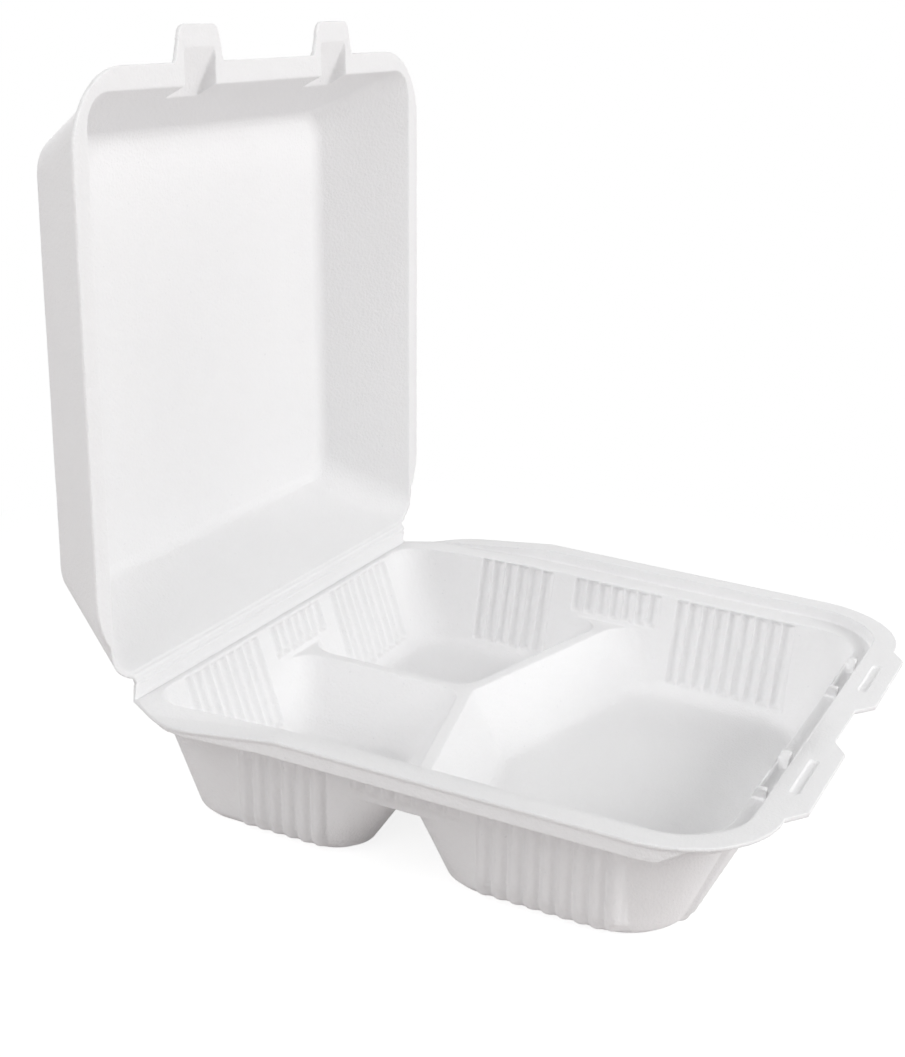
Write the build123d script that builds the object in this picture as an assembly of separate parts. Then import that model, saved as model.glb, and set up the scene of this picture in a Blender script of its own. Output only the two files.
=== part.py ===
from build123d import *
import os
from collections import namedtuple
from math import acos, asin, cos, hypot, radians, sin, tan

# Hinged food container formed from one thin white sheet: a three-compartment tray,
# and a deep lid that folds over it along the back. Millimetres, +Z up, tray standing on z = 0.
# The front, with the two catches, faces -Y. The lid is drawn open.

# Sheet and overall plan
sheet = 1.6
side_flange = 18.5
front_edge = -107.0
hinge_line = 107.0
hinge_end_setback = 16.0
rear_corner_setback = 23.0
rear_corner_radius = 24.0
front_corner_radius = 36.0

# Heights of the tray
ledge_height = 41.8
rim_step = 4.6
rear_fall = 2.4
divider_height = 25.5

# Tray mouth, measured to the inner face at the ledge, with the slope of each wall
mouth_half_width = 96.5
mouth_front = 92.0
mouth_back = 103.5
side_slope = 8.0
front_slope = 20.0
back_slope = 22.0
mouth_front_radius = 20.0
mouth_back_radius = 13.0
floor_fillet = 6.0
floor_bevel = 2.8

# Dividers: a shallow chevron across the tray and a stem from its point to the back wall
chevron_point = 30.0
chevron_angle = 13.0
divider_half_width = 2.2
divider_slope = 30.0
divider_corner_radius = 12.0

# Raised rim along both sides and the front; rim and ledge run down to the fold at the back corners
rim_top_width = 8.6
ledge_fall_start = 50.0
ramp_start = 45.0
ramp_end = 96.0
lip_overhang = 0.8
lip_thickness = 1.2
skirt_end_low = -66.0
skirt_end_high = -88.0

# Flutes pressed outward into the tray walls
flute_pitch = 5.4
flute_depth = 0.9
flute_top_margin = 1.2
flute_floor_margin = 4.5
flute_shelf_margin = 1.6
flute_root = 0.3
flute_facets = 3
flute_end_slope = 45.0
flute_backing = 1.2
long_flutes = 9
short_flutes = 7
side_back_flutes = 6
side_front_group = -41.5
side_back_group = 52.0
back_group = 51.0
front_group = 51.0

# Front catches: tab plates with a notch, a slot for the lid's tongue and a stiffening groove
catch_centre = 46.0
catch_root_half = 31.4
catch_tip_half = 23.5
catch_reach = 5.3
notch_half_width = 14.0
notch_end_run = 2.5
notch_wall = -100.4
slot_half_width = 12.0
slot_sill = 0.6
slot_opening = 2.2
groove_line = -104.8
groove_length = 27.0
groove_width = 3.2
groove_depth = 0.8

# Fold between tray and lid
bead_radius = 0.8
fold_gap = 0.35
strip_thickness = 1.2
crease_size = 0.5
web_thickness = 0.55
web_length = 2.2
seat_gap = 0.2
hinge_drop = 1.0
open_angle = 94.0

# Lid, described as it lies when shut
lid_length = 196.4
lid_depth = 33.0
lid_flange = 7.5
lid_hinge_flange = 3.0
lid_slab_start = 0.95
lid_side_slope = 30.0
lid_hinge_slope = 30.0
lid_front_slope = 27.0
lid_front_radius = 27.0
lid_mouth_radius = 13.0
lid_panel_fillet = 6.0
lid_back_fillet = 5.0

# Tongues on the lid's free edge, each with a wedge-shaped stiffening pocket
tongue_centre = 45.0
tongue_root_half = 14.2
tongue_tip_half = 11.0
tongue_reach = 11.8
tongue_tip_radius = 4.0
pocket_half_width = 9.2
pocket_start = 4.7
pocket_depth = 8.0
pocket_slope = 26.0

# A wall of a drafted hollow: the way it faces, its distance from the Z axis at a level, its slope
Wall = namedtuple("Wall", "facing reach level slope")

rim_half_width = mouth_half_width + side_flange
hinge_half_length = rim_half_width - hinge_end_setback
rim_height = ledge_height + rim_step
fold_height = ledge_height - rear_fall
hinge_height = rim_height - hinge_drop
overcut = 5.0


def reach_at(wall, height, grow=0.0):
    slope = radians(wall.slope)
    return wall.reach + (height - wall.level) * tan(slope) + grow / cos(slope)


def corner_points(walls, height, grow):
    points = []
    for wall, following in zip(walls, walls[1:] + walls[:1]):
        facing = radians(wall.facing)
        turn = radians(following.facing - wall.facing)
        near = reach_at(wall, height, grow)
        along = (reach_at(following, height, grow) - near * cos(turn)) / sin(turn)
        points.append(
            (near * cos(facing) - along * sin(facing), near * sin(facing) + along * cos(facing), height)
        )
    return points


def drafted_hollow(walls, radii, low, high, grow):
    lower = corner_points(walls, low, grow)
    upper = corner_points(walls, high, grow)
    solid = ConvexPolyhedron(lower + upper)
    for start, end, radius in zip(lower, upper, radii):
        middle = (Vector(*start) + Vector(*end)) * 0.5
        edge = solid.edges().sort_by(lambda candidate: (candidate.center() - middle).length)[0]
        solid = fillet(edge, radius + grow)
    return solid


def prism(points, low, high):
    return extrude(make_face(Polyline(*points, close=True)), high - low).moved(Location((0, 0, low)))


def raised(face, low, high):
    return extrude(face, high - low).moved(Location((0, 0, low)))


def side_prism(points, half_width):
    # points are (y, z) pairs, drawn on the YZ plane and carried across the width
    face = make_face(Plane.YZ * Polyline(*points, close=True))
    return extrude(face, half_width, both=True)


def rounded(face, corner_radii):
    # corner_radii pairs a corner's place with its radius
    for (x, y), radius in corner_radii:
        vertex = face.vertices().sort_by(lambda candidate: hypot(candidate.X - x, candidate.Y - y))[0]
        face = fillet(vertex, radius)
    return face


def block(x_low, x_high, y_low, y_high, z_low, z_high):
    size = Box(x_high - x_low, y_high - y_low, z_high - z_low, align=(Align.MIN, Align.MIN, Align.MIN))
    return size.moved(Location((x_low, y_low, z_low)))


def mirrored_pair(shape):
    return [shape, shape.mirror(Plane.YZ)]


# Walls of the tray
right_wall = Wall(0, mouth_half_width, ledge_height, side_slope)
back_wall = Wall(90, mouth_back, fold_height, back_slope)
left_wall = Wall(180, mouth_half_width, ledge_height, side_slope)
front_wall = Wall(270, mouth_front, ledge_height, front_slope)

# Faces of the dividers, each seen from inside its own compartment
chevron_rise = chevron_point * cos(radians(chevron_angle))
chevron_front = chevron_rise - divider_half_width
chevron_back = -chevron_rise - divider_half_width
front_right_face = Wall(90 - chevron_angle, chevron_front, divider_height, divider_slope)
front_left_face = Wall(90 + chevron_angle, chevron_front, divider_height, divider_slope)
back_right_face = Wall(270 - chevron_angle, chevron_back, divider_height, divider_slope)
stem_face = Wall(180, -divider_half_width, divider_height, divider_slope)

mouth_walls = [right_wall, back_wall, left_wall, front_wall]
mouth_radii = [mouth_back_radius, mouth_back_radius, mouth_front_radius, mouth_front_radius]
large_walls = [right_wall, front_right_face, front_left_face, left_wall, front_wall]
large_radii = [divider_corner_radius] * 3 + [mouth_front_radius] * 2
small_walls = [right_wall, back_wall, stem_face, back_right_face]
small_radii = [mouth_back_radius] + [divider_corner_radius] * 3


def compartment(walls, radii, grow):
    # Grown by the sheet, the hollow becomes the outside of the same compartment;
    # its floor edge is round inside and bevelled outside
    solid = drafted_hollow(walls, radii, sheet - grow, divider_height, grow)
    floor_edges = solid.edges().group_by(Axis.Z)[0]
    return chamfer(floor_edges, floor_bevel) if grow else fillet(floor_edges, floor_fillet)


def tray_hollows(grow):
    small = compartment(small_walls, small_radii, grow)
    top = rim_height + overcut if grow == 0 else ledge_height
    upper = drafted_hollow(mouth_walls, mouth_radii, divider_height - grow, top, grow)
    return [upper, compartment(large_walls, large_radii, grow)] + mirrored_pair(small)


# Flutes: a row of round lobes that leans with its wall and stands out of it by the flute's depth
flute_radius = (flute_depth**2 + (flute_pitch / 2) ** 2) / (2 * flute_depth)
flute_inset = flute_radius - flute_depth


def lobed_face(count, grow):
    # The row seen along the wall: x runs across it, -y points out of it, y = 0 is its inner face
    radius = flute_radius + grow
    cusp_angle = asin(flute_pitch / 2 / radius)
    root_angle = acos((flute_inset + grow - flute_root) / radius)
    points = []
    for index in range(count):
        middle = (index - (count - 1) / 2) * flute_pitch
        start = -root_angle if index == 0 else -cusp_angle
        end = root_angle if index == count - 1 else cusp_angle
        for step in range(flute_facets + 1):
            angle = start + (end - start) * step / flute_facets
            if index == 0 or step > 0:
                points.append((middle + radius * sin(angle), flute_inset - radius * cos(angle)))
    points += [(points[-1][0], flute_backing), (points[0][0], flute_backing)]
    return make_face(Polyline(*points, close=True))


def flute_group(wall, centre, count, foot, grow):
    slope = radians(wall.slope)
    facing = radians(wall.facing)
    outward = Vector(cos(facing), sin(facing), 0)
    sideways = Vector(-sin(facing), cos(facing), 0)
    upward = outward * sin(slope) + Vector(0, 0, cos(slope))
    length = (wall.level - flute_top_margin - foot) / cos(slope)
    lean = tan(radians(flute_end_slope))
    spread = grow / cos(radians(flute_end_slope))
    outer = flute_depth + grow + flute_backing
    overrun = flute_backing * lean + spread
    ends = [
        (-outer, outer * lean - spread),
        (flute_backing, -overrun),
        (flute_backing, length + overrun),
        (-outer, length - outer * lean + spread),
    ]
    row = raised(lobed_face(count, grow), -overrun, length + overrun)
    row &= side_prism(ends, count * flute_pitch)
    start = outward * reach_at(wall, foot) + sideways * centre + Vector(0, 0, foot)
    return Plane(origin=start, x_dir=sideways, z_dir=upward) * row


def tray_flutes(grow):
    floor = sheet + flute_floor_margin
    shelf = divider_height + flute_shelf_margin
    divider_end = chevron_point - mouth_half_width * tan(radians(chevron_angle))
    rows = [flute_group(back_wall, 0, short_flutes, shelf, grow)]
    for side in (1, -1):
        wall = right_wall if side == 1 else left_wall
        rows.append(flute_group(back_wall, side * back_group, long_flutes, floor, grow))
        rows.append(flute_group(front_wall, side * front_group, long_flutes, floor, grow))
        rows.append(flute_group(wall, side * side_front_group, long_flutes, floor, grow))
        rows.append(flute_group(wall, side * side_back_group, side_back_flutes, floor, grow))
        rows.append(flute_group(wall, side * divider_end, short_flutes, shelf, grow))
    return rows


# Rim outlines
strip_back = hinge_line + strip_thickness / 2
side_start = hinge_line - rear_corner_setback


def rim_outline(inset):
    half = rim_half_width - inset
    front = front_edge + inset
    back = strip_back
    points = [
        (hinge_half_length, back),
        (-hinge_half_length, back),
        (-half, side_start),
        (-half, front),
        (half, front),
        (half, side_start),
    ]
    corners = [((side * half, front), front_corner_radius - inset) for side in (1, -1)]
    corners += [((side * half, side_start), rear_corner_radius) for side in (1, -1)]
    return rounded(make_face(Polyline(*points, close=True)), corners)


def step_outline(grow):
    half = rim_half_width - rim_top_width + grow
    front = front_edge + rim_top_width - grow
    back = strip_back + overcut
    points = [(half, back), (-half, back), (-half, front), (half, front)]
    radius = front_corner_radius - rim_top_width + grow
    corners = [((side * half, front), radius) for side in (1, -1)]
    return rounded(make_face(Polyline(*points, close=True)), corners)


# Lines of the rim and the ledge seen from the side, as (y, z) pairs from front to back
profile_front = front_edge - catch_reach - overcut
profile_back = strip_back + overcut


def rim_line(drop):
    return [
        (profile_front, rim_height - drop),
        (ramp_start, rim_height - drop),
        (ramp_end, fold_height - drop),
        (profile_back, fold_height - drop),
    ]


def ledge_line(drop):
    return [
        (profile_front, ledge_height - drop),
        (ledge_fall_start, ledge_height - drop),
        (ramp_end, fold_height - drop),
        (profile_back, fold_height - drop),
    ]


def side_region(line, level):
    # Everything between a line and a level, over the whole width
    return side_prism(line + [(profile_back, level), (profile_front, level)], rim_half_width + overcut)


def raised_rim():
    below = fold_height - sheet - overcut
    above = rim_height + overcut
    body = raised(rim_outline(0), below, above)
    body &= side_region(rim_line(0), below)
    body &= side_region(ledge_line(sheet), above)
    body -= raised(step_outline(0), below, above) & side_region(ledge_line(0), above)
    beyond_step = raised(step_outline(sheet), below, above)
    skirt_inner = raised(rim_outline(lip_overhang + sheet), below, above)
    body -= (skirt_inner - beyond_step) & side_region(rim_line(sheet), below)
    lip_shadow = raised(rim_outline(0), below, above) - raised(rim_outline(lip_overhang), below, above)
    body -= lip_shadow & side_region(rim_line(lip_thickness), below)
    skirt_end = [
        (skirt_end_low, below),
        (skirt_end_high, rim_height - sheet),
        (profile_front, rim_height - sheet),
        (profile_front, below),
    ]
    body -= side_prism(skirt_end, rim_half_width + overcut) - beyond_step
    return body


def notch(grow):
    # Recess in the front rim that takes the lid's tongue; its ends slope
    half = notch_half_width + grow
    low = ledge_height - grow
    high = rim_height + (overcut if grow == 0 else 0)
    run = notch_end_run * (high - low) / rim_step
    points = [(-half + notch_end_run, low), (-half + notch_end_run - run, high),
              (half - notch_end_run + run, high), (half - notch_end_run, low)]
    wall = notch_wall - grow
    inner = front_edge + rim_top_width + sheet
    face = make_face(Plane.XZ * Polyline(*points, close=True))
    return extrude(face, inner - wall).moved(Location((catch_centre, inner, 0)))


def catch():
    plate = [
        (catch_centre - catch_root_half, front_edge + sheet),
        (catch_centre - catch_root_half, front_edge),
        (catch_centre - catch_tip_half, front_edge - catch_reach),
        (catch_centre + catch_tip_half, front_edge - catch_reach),
        (catch_centre + catch_root_half, front_edge),
        (catch_centre + catch_root_half, front_edge + sheet),
    ]
    return prism(plate, rim_height - sheet, rim_height) + notch(sheet)


def catch_cuts():
    slot = block(catch_centre - slot_half_width, catch_centre + slot_half_width,
                 notch_wall - sheet - overcut, notch_wall + sheet,
                 ledge_height + slot_sill, ledge_height + slot_sill + slot_opening)
    slot_lid = block(catch_centre - slot_half_width, catch_centre + slot_half_width,
                     notch_wall - sheet - overcut, notch_wall - sheet, rim_height - sheet, rim_height)
    groove = extrude(SlotOverall(groove_length, groove_width), groove_depth + overcut)
    groove = groove.moved(Location((catch_centre, groove_line, rim_height - groove_depth)))
    return [notch(0), slot - slot_lid, groove]


def build_tray():
    strip_top = hinge_height - bead_radius - fold_gap
    strip = block(-hinge_half_length, hinge_half_length, strip_back - strip_thickness, strip_back,
                  fold_height - sheet, strip_top)
    crease = block(-hinge_half_length - overcut, hinge_half_length + overcut,
                   strip_back - strip_thickness - crease_size, strip_back - strip_thickness,
                   fold_height - crease_size, fold_height)
    upper, *lower = tray_hollows(sheet)
    outside = upper.fuse(*lower, *tray_flutes(sheet)) & side_region(ledge_line(sheet / 2), 0)
    upper, *lower = tray_hollows(0)
    inside = upper.fuse(*lower, *tray_flutes(0))
    body = raised_rim() + mirrored_pair(catch())
    body = body.fuse(outside, strip)
    cuts = []
    for cut in catch_cuts():
        cuts += mirrored_pair(cut)
    return body.cut(inside, crease, *cuts)


# Lid, built shut and then swung open about the fold
flange_inner = rim_height + seat_gap
flange_outer = flange_inner + sheet
lid_front = hinge_line - lid_length


def lid_outline():
    half = rim_half_width
    points = [
        (hinge_half_length, hinge_line),
        (-hinge_half_length, hinge_line),
        (-half, side_start),
        (-half, lid_front),
        (half, lid_front),
        (half, side_start),
    ]
    corners = [((side * half, lid_front), lid_front_radius) for side in (1, -1)]
    corners += [((side * half, side_start), rear_corner_radius) for side in (1, -1)]
    return rounded(make_face(Polyline(*points, close=True)), corners)


def lid_hollow(grow):
    half = rim_half_width - lid_flange
    walls = [
        Wall(0, half, flange_inner, -lid_side_slope),
        Wall(90, hinge_line - lid_hinge_flange, flange_inner, -lid_hinge_slope),
        Wall(180, half, flange_inner, -lid_side_slope),
        Wall(270, -lid_front - lid_flange, flange_inner, -lid_front_slope),
    ]
    low = flange_inner if grow else flange_inner - sheet
    solid = drafted_hollow(walls, [lid_mouth_radius] * 4, low, flange_inner + lid_depth + grow, grow)
    return fillet(solid.edges().group_by(Axis.Z)[-1], lid_back_fillet if grow else lid_panel_fillet)


def tongue():
    root = lid_front + sheet
    tip = lid_front - tongue_reach
    points = [
        (tongue_centre - tongue_root_half, root),
        (tongue_centre - tongue_root_half, lid_front),
        (tongue_centre - tongue_tip_half, tip),
        (tongue_centre + tongue_tip_half, tip),
        (tongue_centre + tongue_root_half, lid_front),
        (tongue_centre + tongue_root_half, root),
    ]
    corners = [((tongue_centre + side * tongue_tip_half, tip), tongue_tip_radius) for side in (1, -1)]
    face = rounded(make_face(Polyline(*points, close=True)), corners)
    return raised(face, flange_inner, flange_outer)


def tongue_pocket(grow):
    # Wedge whose floor leans from the tongue into the lid's front wall
    slope = radians(pocket_slope)
    start = lid_front - pocket_start - grow / sin(slope)
    base = flange_inner if grow else flange_inner - sheet
    start += (base - flange_inner) / tan(slope)
    rise = pocket_depth + grow / cos(slope) + flange_inner - base
    end = start + rise / tan(slope)
    points = [(start, base), (end, base + rise), (end, base)]
    half = pocket_half_width + grow
    return side_prism(points, half).moved(Location((tongue_centre, 0, 0)))


def build_lid():
    slab = raised(lid_outline(), flange_inner, flange_outer)
    clear_of_strip = hinge_line - lid_slab_start
    slab -= block(-rim_half_width, rim_half_width, clear_of_strip, hinge_line + overcut,
                  flange_inner - overcut, flange_outer + overcut)
    bead = Cylinder(bead_radius, 2 * hinge_half_length, rotation=(0, 90, 0))
    bead = bead.moved(Location((0, hinge_line, hinge_height)))
    web_level = hinge_height + seat_gap
    web = block(-hinge_half_length, hinge_half_length, hinge_line - web_length, hinge_line,
                web_level, web_level + web_thickness)
    neck = block(-hinge_half_length, hinge_half_length, hinge_line - web_length, clear_of_strip,
                 web_level, flange_inner + web_thickness)
    pieces = [lid_hollow(sheet), bead, web, neck]
    pieces += mirrored_pair(tongue()) + mirrored_pair(tongue_pocket(sheet))
    body = slab.fuse(*pieces)
    body = body.cut(lid_hollow(0), *mirrored_pair(tongue_pocket(0)))
    fold = Axis((0, hinge_line, hinge_height), (1, 0, 0))
    return body.rotate(fold, -open_angle)


os.makedirs("parts", exist_ok=True)
export_step(build_tray(), "parts/tray.step")
export_step(build_lid(), "parts/lid.step")
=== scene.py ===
import bpy
import bmesh
import math
import numpy as np
from mathutils import Matrix, Vector, noise


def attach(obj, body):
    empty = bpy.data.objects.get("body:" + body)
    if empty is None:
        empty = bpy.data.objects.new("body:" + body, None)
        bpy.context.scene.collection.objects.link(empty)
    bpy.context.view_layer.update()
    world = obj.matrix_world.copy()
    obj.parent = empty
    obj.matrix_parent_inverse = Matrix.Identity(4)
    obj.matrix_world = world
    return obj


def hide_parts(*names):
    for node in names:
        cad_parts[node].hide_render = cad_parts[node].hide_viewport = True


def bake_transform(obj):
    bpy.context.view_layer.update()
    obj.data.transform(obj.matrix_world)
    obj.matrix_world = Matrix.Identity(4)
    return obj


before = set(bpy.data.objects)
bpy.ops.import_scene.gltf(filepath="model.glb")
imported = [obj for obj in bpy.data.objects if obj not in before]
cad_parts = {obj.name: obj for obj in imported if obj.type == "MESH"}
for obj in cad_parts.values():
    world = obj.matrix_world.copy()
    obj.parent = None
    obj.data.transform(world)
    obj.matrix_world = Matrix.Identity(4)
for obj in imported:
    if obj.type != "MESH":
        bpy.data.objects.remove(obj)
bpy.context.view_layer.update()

scene = bpy.context.scene


# White foam: matt, fine closed cells, a few grey specks, faint broad clouding; sizes in metres
foam = {
    "colour": (0.885, 0.882, 0.885, 1),
    "speckColour": (0.79, 0.79, 0.80, 1),
    "cloudColour": (0.855, 0.852, 0.858, 1),
    "roughness": (0.52, 0.68),
    "specular": 0.35,
    "cells": {"kind": "ShaderNodeTexVoronoi", "size": 0.0011, "detail": 2.0},
    "grain": {"kind": "ShaderNodeTexNoise", "size": 0.0006, "detail": 3.0},
    "specks": {"kind": "ShaderNodeTexNoise", "size": 0.0016, "detail": 4.0},
    "clouds": {"kind": "ShaderNodeTexNoise", "size": 0.045, "detail": 3.0},
    "speckEdge": (0.70, 0.76),  # noise level where a speck begins and where it is full
    "cellBump": 0.30,
    "grainBump": 0.20,
    "bumpHeight": 0.0004,
    "glow": 0.04,
    "glowTint": (1.0, 0.95, 0.9),
    "glowReach": 0.003,
}


def foamMaterial():
    material = bpy.data.materials.new("whiteFoam")
    material.use_nodes = True
    nodes, links = material.node_tree.nodes, material.node_tree.links
    shader = nodes["Principled BSDF"]
    shader.inputs["Specular IOR Level"].default_value = foam["specular"]
    shader.inputs["Subsurface Weight"].default_value = foam["glow"]
    shader.inputs["Subsurface Radius"].default_value = foam["glowTint"]
    shader.inputs["Subsurface Scale"].default_value = foam["glowReach"]
    place = nodes.new("ShaderNodeTexCoord")

    def pattern(name):
        texture = nodes.new(foam[name]["kind"])
        texture.inputs["Scale"].default_value = 1 / foam[name]["size"]
        texture.inputs["Detail"].default_value = foam[name]["detail"]
        links.new(place.outputs["Object"], texture.inputs["Vector"])
        return texture

    def tint(mask, colour):
        mix = nodes.new("ShaderNodeMix")
        mix.data_type = "RGBA"
        mix.inputs["B"].default_value = colour
        links.new(mask, mix.inputs["Factor"])
        return mix

    def bump(height, strength):
        relief = nodes.new("ShaderNodeBump")
        relief.inputs["Strength"].default_value = strength
        relief.inputs["Distance"].default_value = foam["bumpHeight"]
        links.new(height, relief.inputs["Height"])
        return relief

    cells, grain, specks, clouds = (pattern(name) for name in ("cells", "grain", "specks", "clouds"))

    speckMask = nodes.new("ShaderNodeValToRGB")
    for stop, level in zip(speckMask.color_ramp.elements, foam["speckEdge"]):
        stop.position = level
    links.new(specks.outputs["Fac"], speckMask.inputs["Fac"])
    cloudMix = tint(clouds.outputs["Fac"], foam["cloudColour"])
    cloudMix.inputs["A"].default_value = foam["colour"]
    speckMix = tint(speckMask.outputs["Color"], foam["speckColour"])
    links.new(cloudMix.outputs["Result"], speckMix.inputs["A"])
    links.new(speckMix.outputs["Result"], shader.inputs["Base Color"])

    gloss = nodes.new("ShaderNodeMapRange")
    gloss.inputs["To Min"].default_value, gloss.inputs["To Max"].default_value = foam["roughness"]
    links.new(grain.outputs["Fac"], gloss.inputs["Value"])
    links.new(gloss.outputs["Result"], shader.inputs["Roughness"])

    cellBump = bump(cells.outputs["Distance"], foam["cellBump"])
    grainBump = bump(grain.outputs["Fac"], foam["grainBump"])
    links.new(cellBump.outputs["Normal"], grainBump.inputs["Normal"])
    links.new(grainBump.outputs["Normal"], shader.inputs["Normal"])
    return material


whiteFoam = foamMaterial()
print("foam material made")


# The formed sheet: the CAD shape with its pressed edges rounded off and a slight waviness from forming
formedSheet = {
    "weld": 1e-6,
    "voxel": 0.0004,
    "smoothFactor": 0.5,
    "smoothSteps": 3,
    "roundBelow": 0.0065,  # under this height the edges are rolled over more broadly
    "roundSteps": 24,
    "triangles": 195000,
    "waveHeight": 0.00015,
    "waveLength": 0.035,
}


def bakeModifiers(piece):
    bpy.context.view_layer.update()
    graph = bpy.context.evaluated_depsgraph_get()
    finished = bpy.data.meshes.new_from_object(piece.evaluated_get(graph))
    piece.modifiers.clear()
    piece.data = finished


def vertexPlaces(piece):
    places = np.empty(len(piece.data.vertices) * 3, np.float32)
    piece.data.vertices.foreach_get("co", places)
    return places.reshape(-1, 3)


# The pressed flutes, deepened beyond the CAD's plain ones; lengths in metres, slopes in degrees
flutes = {
    "pitch": 0.0054,
    "depth": 0.0013,
    "skin": (-0.0006, 0.0031),  # how far from the wall's inner face the sheet's two skins lie
    "roll": (-0.0005, 0.0009),  # from the same face, where a flute fades out round the lower edge
    "endRun": 0.0018,
    "topMargin": 0.0004,
    "walls": {
        "right": {"out": (1, 0), "along": (0, 1), "reach": 0.0965, "level": 0.0418, "slope": 8},
        "left": {"out": (-1, 0), "along": (0, 1), "reach": 0.0965, "level": 0.0418, "slope": 8},
        "back": {"out": (0, 1), "along": (1, 0), "reach": 0.1035, "level": 0.0394, "slope": 22},
        "front": {"out": (0, -1), "along": (1, 0), "reach": 0.092, "level": 0.0418, "slope": 20},
    },
    # each row's wall, middle along it, number of flutes and lower end
    "rows": (
        ("back", 0.0, 7, 0.0271), ("back", 0.051, 9, 0.0061), ("back", -0.051, 9, 0.0061),
        ("front", 0.051, 9, 0.0061), ("front", -0.051, 9, 0.0061),
        ("right", -0.0415, 9, 0.0061), ("left", -0.0415, 9, 0.0061),
        ("right", 0.052, 6, 0.0061), ("left", 0.052, 6, 0.0061),
        ("right", 0.00772, 7, 0.0271), ("left", 0.00772, 7, 0.0271),
    ),
}


def sharpenFlutes(piece):
    places = vertexPlaces(piece)
    facing = np.empty_like(places)
    piece.data.vertex_normals.foreach_get("vector", facing.ravel())
    innermost, outermost = flutes["skin"]
    rollStart, rollEnd = flutes["roll"]
    for wall, middle, count, foot in flutes["rows"]:
        side = flutes["walls"][wall]
        lean = math.radians(side["slope"])
        outward = np.array([way * math.cos(lean) for way in side["out"]] + [-math.sin(lean)])
        face = side["reach"] + (places[:, 2] - side["level"]) * math.tan(lean)
        off = (places[:, :2] @ np.array(side["out"]) - face) * math.cos(lean)
        across = (places[:, :2] @ np.array(side["along"]) - middle) / flutes["pitch"] + count / 2
        top = side["level"] - flutes["topMargin"]
        # Outside, the long ones run on down over the rolled lower edge
        outside = (facing @ outward > 0) & (foot < formedSheet["roundBelow"])
        inRow = (off > innermost) & (off < outermost) & (across > 0) & (across < count)
        inRow &= (outside | (places[:, 2] > foot)) & (places[:, 2] < top)
        near = places[inRow]
        roll = (off[inRow] - rollStart) / (rollEnd - rollStart)
        low = np.where(outside[inRow], roll, (near[:, 2] - foot) / flutes["endRun"])
        ends = np.clip(np.minimum(low, (top - near[:, 2]) / flutes["endRun"]), 0, 1)
        ends = ends * ends * (3 - 2 * ends)  # eased, so that a flute has no hard end
        lobe = 1 - (2 * (across[inRow] % 1) - 1) ** 2
        push = flutes["depth"] * lobe * ends
        near += push[:, None] * outward
        places[inRow] = near
    piece.data.vertices.foreach_set("co", places.ravel())
    piece.data.update()


# The pressed line where the tray's back edge turns up into the fold
crease = {
    "line": 0.1062,
    "level": 0.039,
    "halfLength": 0.099,
    "halfWidth": 0.00045,
    "halfHeight": 0.0008,
    "depth": 0.0006,
}


def pressCrease(piece):
    for vertex in piece.data.vertices:
        x, y, z = vertex.co
        onLine = abs(y - crease["line"]) < crease["halfWidth"] and abs(x) < crease["halfLength"]
        if onLine and abs(z - crease["level"]) < crease["halfHeight"]:
            vertex.co.z -= crease["depth"]


def roundFoot(piece):
    low = np.nonzero(vertexPlaces(piece)[:, 2] < formedSheet["roundBelow"])[0]
    foot = piece.vertex_groups.new(name="foot")
    foot.add(low.tolist(), 1.0, "REPLACE")
    roll = piece.modifiers.new("roll", "SMOOTH")
    roll.factor = formedSheet["smoothFactor"]
    roll.iterations = formedSheet["roundSteps"]
    roll.vertex_group = foot.name
    bakeModifiers(piece)
    piece.vertex_groups.clear()


def softSheet(node, name, body):
    piece = bpy.data.objects.new(name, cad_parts[node].data.copy())
    scene.collection.objects.link(piece)
    joined = bmesh.new()
    joined.from_mesh(piece.data)
    bmesh.ops.remove_doubles(joined, verts=joined.verts, dist=formedSheet["weld"])  # CAD faces come in apart
    joined.to_mesh(piece.data)
    joined.free()
    skin = piece.modifiers.new("skin", "REMESH")
    skin.mode = "VOXEL"
    skin.voxel_size = formedSheet["voxel"]
    soften = piece.modifiers.new("soften", "SMOOTH")
    soften.factor = formedSheet["smoothFactor"]
    soften.iterations = formedSheet["smoothSteps"]
    bakeModifiers(piece)
    if node == "tray":
        roundFoot(piece)
        sharpenFlutes(piece)
        pressCrease(piece)
    triangles = sum(len(face.vertices) - 2 for face in piece.data.polygons)
    thin = piece.modifiers.new("thin", "DECIMATE")
    thin.ratio = min(1.0, formedSheet["triangles"] / triangles)
    bakeModifiers(piece)
    for vertex in piece.data.vertices:
        wave = noise.noise_vector(vertex.co / formedSheet["waveLength"])
        vertex.co += wave * formedSheet["waveHeight"]
    piece.data.shade_smooth()
    piece.data.materials.clear()
    piece.data.materials.append(whiteFoam)
    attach(piece, body)
    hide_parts(node)
    print(name, "triangles", triangles, "->", len(piece.data.polygons))


softSheet("tray", "trayFoam", "tray")
softSheet("lid", "lidFoam", "lid")


# The sheet runs on through the fold: a thin bar from the standing strip into the lid's edge bead
foldWeb = {
    "halfLength": 0.0986,
    "line": 0.107,
    "low": 0.0434,
    "bendStart": 0.0441,
    "high": 0.0452,
    "halfThickness": 0.00042,
    "columns": 120,
    "rows": 6,
}


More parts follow.
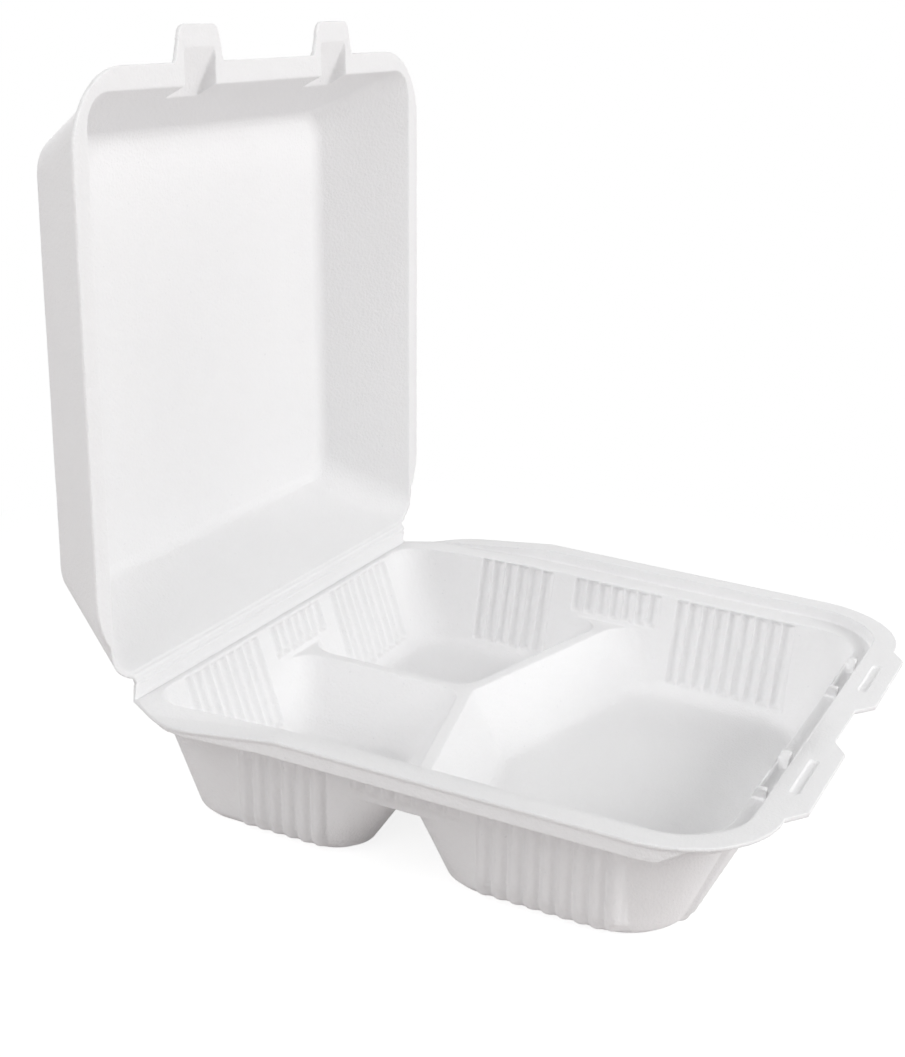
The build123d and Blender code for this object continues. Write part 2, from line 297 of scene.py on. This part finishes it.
def buildFoldWeb():
    mesh = bmesh.new()
    rings = []
    for column in range(foldWeb["columns"] + 1):
        x = foldWeb["halfLength"] * (2 * column / foldWeb["columns"] - 1)
        ring = []
        for side in (1, -1):
            for row in range(foldWeb["rows"] + 1):
                share = row / foldWeb["rows"] if side == 1 else 1 - row / foldWeb["rows"]
                z = foldWeb["low"] + (foldWeb["high"] - foldWeb["low"]) * share
                ring.append(mesh.verts.new((x, foldWeb["line"] + side * foldWeb["halfThickness"], z)))
        rings.append(ring)
    for ring, following in zip(rings, rings[1:]):
        for index, corner in enumerate(ring):
            after = (index + 1) % len(ring)
            mesh.faces.new((corner, ring[after], following[after], following[index]))
    mesh.faces.new(rings[0])
    mesh.faces.new(rings[-1])
    bmesh.ops.recalc_face_normals(mesh, faces=mesh.faces)
    data = bpy.data.meshes.new("foldWeb")
    mesh.to_mesh(data)
    mesh.free()
    data.materials.append(whiteFoam)
    piece = bpy.data.objects.new("foldWeb", data)
    scene.collection.objects.link(piece)
    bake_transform(piece)


buildFoldWeb()
print("fold web made")


# Camera at the photograph's place: yaw from +Y towards +X, pitch, roll, focal length in picture pixels
cameraSet = {
    "place": (-0.54968, -0.20149, 0.28382),
    "yaw": 66.244,
    "pitch": -18.282,
    "roll": 4.18,
    "focalPixels": 1773.1,
    "pictureWidth": 905,
    "sensorWidth": 36,
    "clip": (0.01, 20),
}


def placeCamera():
    yaw, pitch, roll = (math.radians(cameraSet[key]) for key in ("yaw", "pitch", "roll"))
    ahead = Vector((math.sin(yaw) * math.cos(pitch), math.cos(yaw) * math.cos(pitch), math.sin(pitch)))
    flatRight = Vector((math.cos(yaw), -math.sin(yaw), 0))
    flatUp = flatRight.cross(ahead)
    right = flatRight * math.cos(roll) + flatUp * math.sin(roll)
    up = flatUp * math.cos(roll) - flatRight * math.sin(roll)
    data = bpy.data.cameras.new("photoCamera")
    data.sensor_fit = "HORIZONTAL"
    data.sensor_width = cameraSet["sensorWidth"]
    data.lens = cameraSet["focalPixels"] / cameraSet["pictureWidth"] * data.sensor_width
    data.clip_start, data.clip_end = cameraSet["clip"]
    camera = bpy.data.objects.new("photoCamera", data)
    scene.collection.objects.link(camera)
    turn = Matrix((right, up, -ahead)).transposed()
    camera.matrix_world = Matrix.Translation(cameraSet["place"]) @ turn.to_4x4()
    scene.camera = camera


placeCamera()
print("camera placed")


# Pale studio: a floor that shows white and keeps a soft shadow, five broad lamps, a faint even sky
studio = {
    "floorHalf": 6.0,
    "floorShade": (0.68, 0.645, 0.64, 1),
    "shadowShare": 0.3,
    "shadowReach": (0.15, 0.36),  # from the middle, where the shadow starts to fade and where it ends
    "openFloor": 0.5,
    "sky": (1.0, 1.0, 1.0, 1),
    "skyLight": 0.12,
    "lamps": (
        {"name": "frontKey", "place": (0.1, -1.85, 1.1), "size": 1.6, "power": 30.5},
        {"name": "rightFill", "place": (1.4, -1.4, 1.0), "size": 1.2, "power": 6.5},
        {"name": "leftFill", "place": (-1.9, 0.1, 0.9), "size": 1.2, "power": 11},
        {"name": "backLamp", "place": (-1.1, 0.6, 1.5), "size": 1.2, "power": 11},
        {"name": "backFill", "place": (1.3, 1.6, 0.9), "size": 1.4, "power": 14},
    ),
    "aim": (0, 0.03, 0.07),
}


def seenDirectly(nodes, links):
    rays = nodes.new("ShaderNodeLightPath")
    seen = rays.outputs["Is Camera Ray"]
    for kind in ("Is Glossy Ray", "Is Transmission Ray"):
        either = nodes.new("ShaderNodeMath")
        either.operation = "MAXIMUM"
        links.new(seen, either.inputs[0])
        links.new(rays.outputs[kind], either.inputs[1])
        seen = either.outputs[0]
    return seen


def floorMaterial():
    material = bpy.data.materials.new("studioFloor")
    material.use_nodes = True
    nodes, links = material.node_tree.nodes, material.node_tree.links
    nodes.clear()
    place = nodes.new("ShaderNodeTexCoord")
    away = nodes.new("ShaderNodeVectorMath")
    away.operation = "LENGTH"
    links.new(place.outputs["Object"], away.inputs[0])
    share = nodes.new("ShaderNodeMapRange")
    share.interpolation_type = "SMOOTHSTEP"
    share.inputs["From Min"].default_value, share.inputs["From Max"].default_value = studio["shadowReach"]
    share.inputs["To Min"].default_value = studio["shadowShare"]
    share.inputs["To Max"].default_value = 0.0
    links.new(away.outputs["Value"], share.inputs["Value"])
    shadow = nodes.new("ShaderNodeBsdfDiffuse")
    links.new(share.outputs["Result"], shadow.inputs["Color"])
    rest = nodes.new("ShaderNodeMath")  # what the lit floor lacks to be white
    rest.operation = "MULTIPLY_ADD"
    rest.inputs[1].default_value = -studio["openFloor"]
    rest.inputs[2].default_value = 1.0
    links.new(share.outputs["Result"], rest.inputs[0])
    white = nodes.new("ShaderNodeEmission")
    links.new(rest.outputs[0], white.inputs["Strength"])
    seen = nodes.new("ShaderNodeAddShader")
    links.new(white.outputs[0], seen.inputs[0])
    links.new(shadow.outputs[0], seen.inputs[1])
    bounce = nodes.new("ShaderNodeBsdfDiffuse")
    bounce.inputs["Color"].default_value = studio["floorShade"]
    choose = nodes.new("ShaderNodeMixShader")
    links.new(seenDirectly(nodes, links), choose.inputs["Fac"])
    links.new(bounce.outputs[0], choose.inputs[1])
    links.new(seen.outputs[0], choose.inputs[2])
    out = nodes.new("ShaderNodeOutputMaterial")
    links.new(choose.outputs[0], out.inputs["Surface"])
    return material


def buildFloor():
    half = studio["floorHalf"]
    corners = [(-half, -half, 0), (half, -half, 0), (half, half, 0), (-half, half, 0)]
    mesh = bpy.data.meshes.new("studioFloor")
    mesh.from_pydata(corners, [], [(0, 1, 2, 3)])
    mesh.materials.append(floorMaterial())
    floor = bpy.data.objects.new("studioFloor", mesh)
    scene.collection.objects.link(floor)


def buildSky():
    world = bpy.data.worlds.new("studioSky")
    scene.world = world
    world.use_nodes = True
    nodes, links = world.node_tree.nodes, world.node_tree.links
    sky = nodes["Background"]
    sky.inputs["Color"].default_value = studio["sky"]
    strength = nodes.new("ShaderNodeMapRange")
    strength.inputs["To Min"].default_value = studio["skyLight"]
    strength.inputs["To Max"].default_value = 1.0
    links.new(seenDirectly(nodes, links), strength.inputs["Value"])
    links.new(strength.outputs["Result"], sky.inputs["Strength"])


def placeLamps():
    for lamp in studio["lamps"]:
        data = bpy.data.lights.new(lamp["name"], "AREA")
        data.shape = "DISK"
        data.size = lamp["size"]
        data.energy = lamp["power"]
        light = bpy.data.objects.new(lamp["name"], data)
        scene.collection.objects.link(light)
        light.location = lamp["place"]
        ahead = Vector(studio["aim"]) - Vector(lamp["place"])
        light.rotation_mode = "QUATERNION"
        light.rotation_quaternion = ahead.to_track_quat("-Z", "Y")


buildFloor()
buildSky()
placeLamps()
scene.view_settings.view_transform = "Standard"
print("studio lit")
